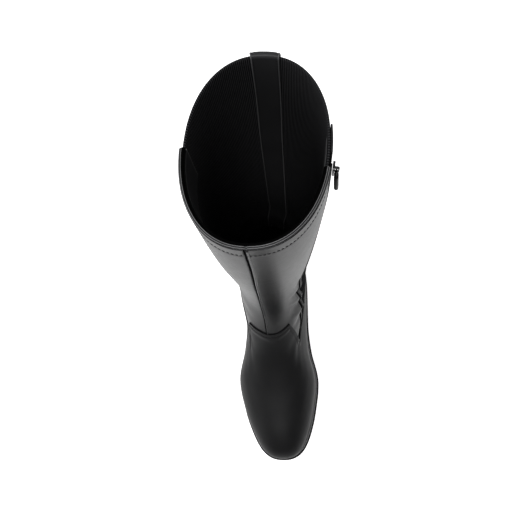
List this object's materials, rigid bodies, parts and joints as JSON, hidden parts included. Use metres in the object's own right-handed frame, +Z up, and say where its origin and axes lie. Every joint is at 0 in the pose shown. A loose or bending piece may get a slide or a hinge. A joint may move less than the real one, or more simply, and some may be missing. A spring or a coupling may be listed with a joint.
{
  "type": "knee-high riding boot",
  "caption": "Knee-high riding boot for the right foot with a round plain toe, low block heel, piped front seam and collar, stretch back and inner side zip",
  "frame": {"origin": "On the floor, at the middle of the top lift's underside, under the middle of the heel.", "axes": "+Z up from the floor, -Y towards the toe, +X towards the inner side of the right foot."},
  "size_m": [0.1225, 0.2938, 0.4139],
  "materials": {
    "textile": "matt stretch textile with fine upright ribs",
    "vamp_leather": "smooth satin leather",
    "panel_leather": "smooth satin leather",
    "piping_leather": "smooth satin leather, tightly turned",
    "lining_leather": "soft lining leather",
    "strap_leather": "smooth satin leather",
    "rubber": "matt rubber",
    "welt_rubber": "satin rubber",
    "heel_stack": "satin painted block",
    "footbed": "matt fine-grained lining",
    "zip_fabric": "woven tape with plastic teeth",
    "bright_metal": "polished",
    "dark_metal": "satin black"
  },
  "bodies": {
    "boot": {"upper": "textile", "vamp": "vamp_leather", "outsole": "rubber", "welt": "welt_rubber", "insole": "footbed", "heel_block": "heel_stack", "top_lift": "rubber", "front_panel_inner": "panel_leather", "front_panel_outer": "panel_leather", "zip_strip": "panel_leather", "seam_piping": "piping_leather", "collar_piping": "piping_leather", "facing": "lining_leather", "zip_guard": "lining_leather", "back_strap": "strap_leather", "zip": "zip_fabric", "zip_slider": "bright_metal"},
    "pull": {"zip_pull": "dark_metal"}
  },
  "joints": [
    {"name": "pull_swing", "type": "hinge", "parent": "boot", "child": "pull", "pos_m": [0.07528, -0.03347, 0.39439], "axis": [-0.0988, -0.9948, 0.0263], "range_deg": [-2, 160]}
  ]
}
